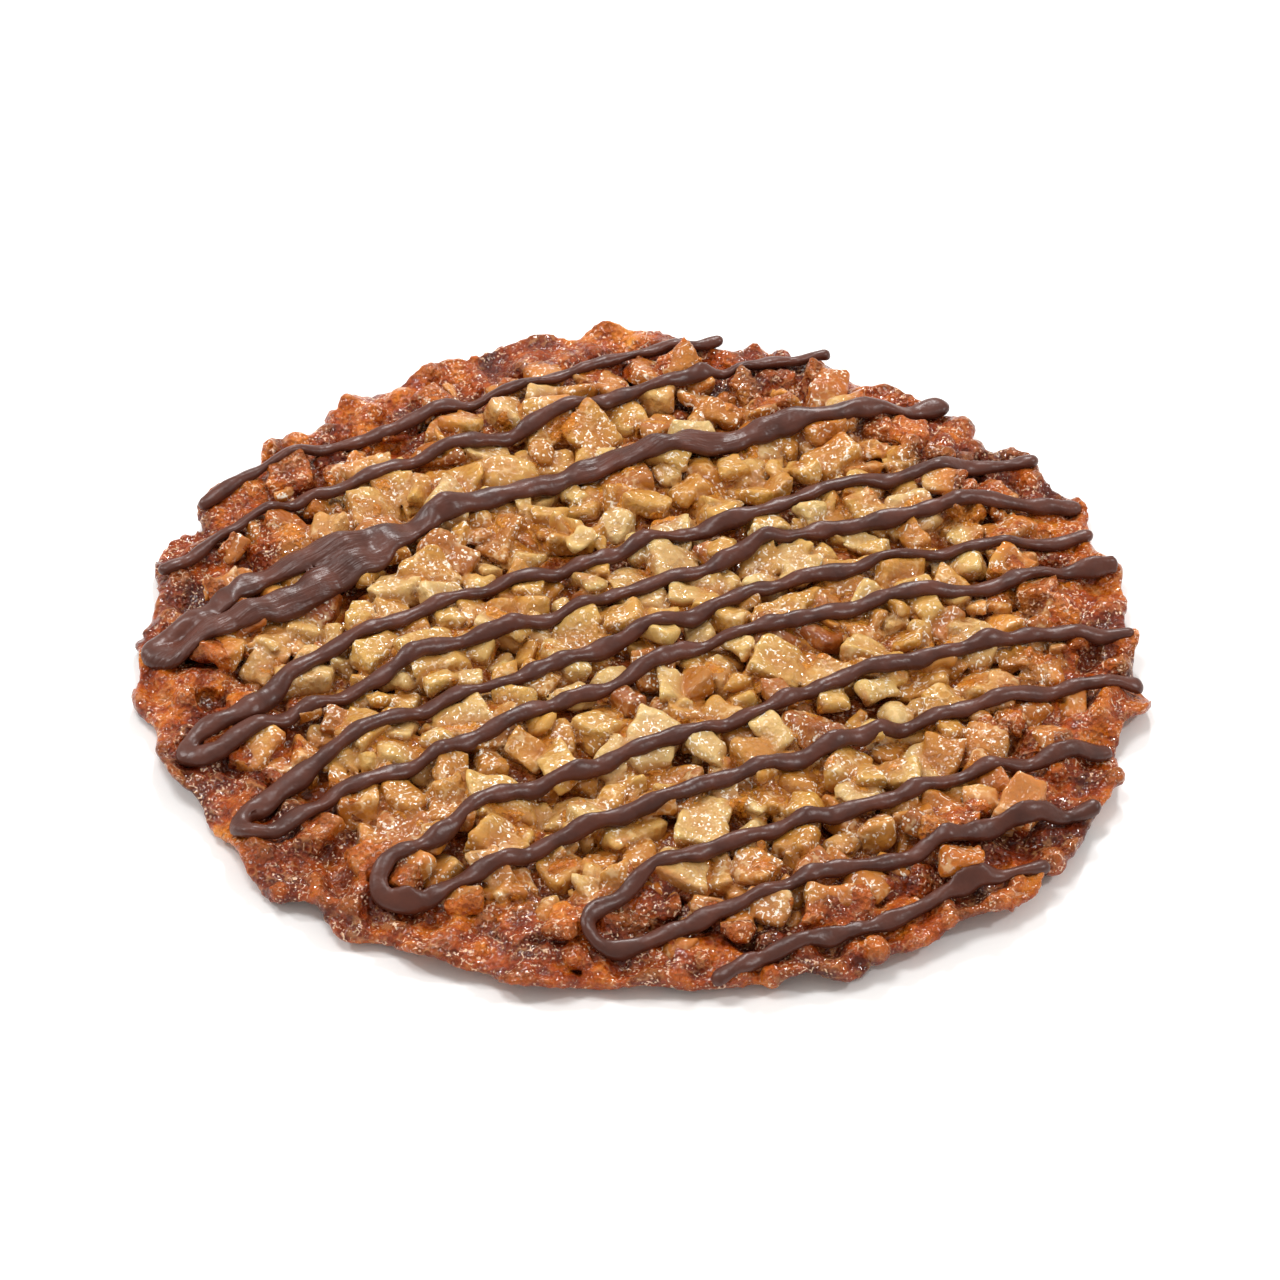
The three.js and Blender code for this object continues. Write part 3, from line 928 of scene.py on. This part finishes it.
def caramel_material():
    """Baked caramel: amber in the middle, darker and patchy at the rim, with painted shade in its hollows,
    painted light on its ridges, pale frost that is partly painted sparkle and painted glints, under a
    clear coat.
    """
    look = Surface(
        "caramel lace", Roughness=0.4, Specular_IOR_Level=0.12,
        Subsurface_Weight=0.2, Subsurface_Scale=0.001, Subsurface_Radius=(0.9, 0.4, 0.15),
        Coat_Weight=0.55, Coat_Roughness=0.05, Coat_IOR=1.5,
    )
    toast = look.attribute("toast")
    hollow = look.attribute("hollow")
    middle = look.ramp(look.spread(look.attribute("depth"), 0.0, 1.1), CARAMEL_MIDDLE)
    rim = look.ramp(look.noise(4.2, detail=4.0, roughness=0.62), CARAMEL_RIM)
    colour = look.mix(toast, middle, rim)
    # Painted shade: darker in the hollows and more so towards the rim, partly the darker caramel that
    # pools there
    shade = look.product(look.spread(hollow, 0.15, 1.3), look.spread(toast, 0.0, 1.0, 0.3, 0.8))
    colour = look.mix(shade, colour, linear(*CARAMEL_HOLLOW_SHADE))
    # Painted light on the raised parts
    colour = look.mix(look.spread(hollow, -0.2, -0.9, 0.0, 0.35), colour, linear(*CARAMEL_RIDGE_LIGHT))
    grains = look.noise(0.5, detail=3.0, roughness=0.7)
    crystals = look.cells(0.5)
    # Pale frost, partly painted sparkle
    frost_and_sparkle = look.product(look.frost_and_sparkle(crystals, 2.2, 0.45, 0.6), 0.3)
    colour = look.mix(frost_and_sparkle, colour, linear(*CARAMEL_FROST_AND_SPARKLE))
    # Painted glints
    colour = look.mix(look.product(look.painted_glints(0.5, 2.6), 0.85), colour, linear(*CARAMEL_PAINTED_GLINT))
    height = look.total(grains, look.product(crystals, 1.2))
    return look.finish(colour, look.bump(height, 0.4), look.wrinkles(0.6, 0.3))


def nut_material():
    """Chopped nuts: pale to toasted pieces, mottled, browner where syrup lies over them, with pale frost
    that is partly painted sparkle, and painted glints.
    """
    look = Surface(
        "chopped nuts", Roughness=0.45, Specular_IOR_Level=0.15,
        Subsurface_Weight=0.15, Subsurface_Scale=0.001, Subsurface_Radius=(1.0, 0.55, 0.25),
        Coat_Weight=0.7, Coat_Roughness=0.05, Coat_IOR=1.5,
    )
    colour = look.ramp(look.attribute("tone"), NUT_TONES)
    mottle = look.noise(1.6, detail=4.0, roughness=0.6)
    colour = look.mix(look.spread(mottle, 0.5, 0.75, 0.0, 0.4), colour, linear(*NUT_MOTTLE))
    colour = look.mix(look.product(look.attribute("toast"), 0.75), colour, linear(*NUT_TOAST))
    syrup = look.spread(look.attribute("bare"), 0.5, 0.0, 0.0, 0.8)
    colour = look.mix(syrup, colour, linear(*NUT_SYRUP))
    grains = look.noise(0.6, detail=3.0, roughness=0.65)
    crystals = look.cells(0.55)
    # Pale frost, partly painted sparkle
    frost_and_sparkle = look.product(look.frost_and_sparkle(crystals, 2.6, 0.5, 0.62), 0.35)
    colour = look.mix(frost_and_sparkle, colour, linear(*NUT_FROST_AND_SPARKLE))
    # Painted glints
    colour = look.mix(look.product(look.painted_glints(0.55, 3.0), 0.9), colour, linear(*NUT_PAINTED_GLINT))
    rough = look.spread(look.noise(3.4), 0.4, 0.6, 0.25, 1.0)
    height = look.product(look.total(grains, crystals), rough)
    return look.finish(colour, look.bump(height, 0.16), look.wrinkles(0.65, 0.32))


def chocolate_material():
    """Dark chocolate, soft-edged, with paler streaks of painted sheen where it was smeared."""
    look = Surface("dark chocolate", Roughness=0.36, Specular_IOR_Level=0.42)
    smear = look.attribute("smear")
    colour = look.ramp(look.noise(2.4, detail=3.0), CHOCOLATE)
    grooves = look.node("ShaderNodeCombineXYZ", X=look.attribute("along"), Y=look.attribute("across"))
    drawn_out = look.node("ShaderNodeTexNoise", Vector=grooves.outputs[0], Scale=1.0, Detail=3.0)
    streaks = drawn_out.outputs["Fac"]
    # Painted sheen on the smear's streaks
    share = look.product(smear, look.spread(streaks, 0.5, 0.7, 0.0, 0.2))
    colour = look.mix(share, colour, linear(*CHOCOLATE_STREAK_SHEEN))
    height = look.total(look.noise(1.1), look.product(look.product(streaks, 4.0), smear))
    return look.finish(colour, look.bump(height, 0.1))


# ---------------------------------------------------------------- stage, lights and camera

FLOOR_REACH = 3.0
FLOOR_GAP = 0.0002  # between the floor and the cookie
FLOOR_COLOURS = [(0.0, (248, 248, 248)), (1.0, (252, 252, 252))]
SKY_COLOUR = (1, 0.95, 0.9, 1)
SKY_STRENGTH = 0.66
SOFTBOXES = [  # name, size, place and power of each, aimed at the cookie
    ("softbox above", 0.22, (-0.15, 0.05, 0.6), 1.35),
    ("softbox behind", 0.1, (0.05, 0.5, 0.45), 1.9),
    ("softbox left", 0.06, (-0.45, 0.15, 0.35), 1.0),
    ("softbox right", 0.06, (0.45, 0.0, 0.4), 0.9),
]


def lamp(name, size, place, power):
    """A round soft lamp that shines on the cookie."""
    light = bpy.data.lights.new(name, "AREA")
    light.shape = "DISK"
    light.size = size
    light.energy = power
    holder = bpy.data.objects.new(name, light)
    holder.location = place
    holder.rotation_euler = (-Vector(place)).to_track_quat("-Z", "Y").to_euler()
    bpy.context.scene.collection.objects.link(holder)


def stage():
    """The floor, the light of the room and the lamps."""
    mesh = bpy.data.meshes.new("floor")
    corners = [(FLOOR_REACH * x, FLOOR_REACH * y, 0) for x, y in ((-1, -1), (1, -1), (1, 1), (-1, 1))]
    mesh.from_pydata(corners, [], [(0, 1, 2, 3)])
    floor = bpy.data.objects.new("floor", mesh)
    floor.location.z = -FLOOR_GAP
    bpy.context.scene.collection.objects.link(floor)
    look = Surface("pale floor", Roughness=0.6)
    floor.data.materials.append(look.finish(look.ramp(look.noise(4.0), FLOOR_COLOURS)))
    world = bpy.data.worlds.new("studio")
    bpy.context.scene.world = world
    world.use_nodes = True
    sky = world.node_tree.nodes["Background"]
    sky.inputs["Color"].default_value = SKY_COLOUR
    sky.inputs["Strength"].default_value = SKY_STRENGTH
    for name, size, place, power in SOFTBOXES:
        lamp(name, size, place, power)


VIEW_ELEVATION = math.radians(42)
LENS = 200.0
SENSOR = 36.0
FRAME_WIDTH = 0.112  # what the frame spans at the cookie
AIM = (0, 0, 0.002)


def camera():
    """The camera, in front of the cookie and above it."""
    data = bpy.data.cameras.new("camera")
    data.lens = LENS
    data.sensor_width = SENSOR
    distance = FRAME_WIDTH * LENS / SENSOR
    holder = bpy.data.objects.new("camera", data)
    aim = Vector(AIM)
    holder.location = aim + distance * Vector((0, -math.cos(VIEW_ELEVATION), math.sin(VIEW_ELEVATION)))
    holder.rotation_euler = (aim - holder.location).to_track_quat("-Z", "Y").to_euler()
    bpy.context.scene.collection.objects.link(holder)
    bpy.context.scene.camera = holder


# ---------------------------------------------------------------- the florentine

CENTRE = rim_centre()
TRIANGLES = {"caramel_lace": 192000, "chopped_nuts": 192000, "chocolate_drizzle": 120000}
LEAST_NUT = 200  # points of the smallest nut that is kept, where caramel covers most of one
LEAST_STRAND = 60  # and of the smallest body of chocolate
BURIED = 0.45  # how far the nuts' mesh reaches under the caramel round them
COATED = 10  # how fast that comes to nothing where the caramel lies over them
UNDERSIDE_REACH = 0.8  # how far over the underside the caramel gets no painted shade or painted light from its hollows and ridges
UNDERSIDE_HOLLOW = 0.1  # the depth that it is given there, too slight for either
EMPTY_HEIGHT = 1.0  # where there is no cookie
HOLLOW_REACH = 1.3  # how far round a place its depth is measured against
SMEARED = (1.05, 1.4)  # half widths between which a line turns into a smear


def toasted(places, low, high, unevenness):
    """How toasted the surface is at each place, from 0 in the middle to 1 at the rim."""
    patches = sampled(noise(COUNT[:2], 8.0, 71), places)
    return smooth_step(low, high, share_of(places[:, 0], places[:, 1]) + unevenness * patches)


def florentine():
    """The three pieces, with their materials, in the solid's place."""
    nut_distance, tone = nut_field()
    caramel_distance, coat = caramel_field(nut_distance)
    heights = top_heights(np.minimum(nut_distance, caramel_distance))
    buried = BURIED - COATED * np.maximum(coat, 0)
    shown = np.maximum(nut_distance, -caramel_distance - buried[:, :, None])

    caramel, places = piece("caramel_lace", caramel_distance)
    around = blurred(np.nan_to_num(heights, nan=EMPTY_HEIGHT), HOLLOW_REACH)
    hollow = sampled(around, places) - places[:, 2]
    below = places[:, 2] < sampled(UNDER, places) + UNDERSIDE_REACH
    attach(caramel, depth=sampled(nut_distance, places), toast=toasted(places, 0.6, 0.84, 0.05),
           hollow=np.where(below, UNDERSIDE_HOLLOW, hollow))
    caramel.data.materials.append(caramel_material())

    chopped, places = piece("chopped_nuts", shown, LEAST_NUT)
    attach(chopped, tone=sampled(tone, places), toast=toasted(places, 0.62, 0.95, 0.06),
           bare=sampled(caramel_distance, places))
    chopped.data.materials.append(nut_material())

    chocolate, widths = drizzle_field(resting_heights(heights))
    drizzle, places = piece("chocolate_drizzle", chocolate, LEAST_STRAND)
    along, across = to_drizzle(places[:, 0], places[:, 1])
    attach(drizzle, smear=smooth_step(*SMEARED, sampled(widths, places)),
           along=along / STREAK[0], across=across / STREAK[1])
    drizzle.data.materials.append(chocolate_material())

    for holder, finish in ((caramel, "caramel"), (chopped, "nuts"), (drizzle, "chocolate")):
        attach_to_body(holder, "root")
        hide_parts("florentine")


florentine()
stage()
camera()
bpy.context.scene.view_settings.view_transform = "Standard"
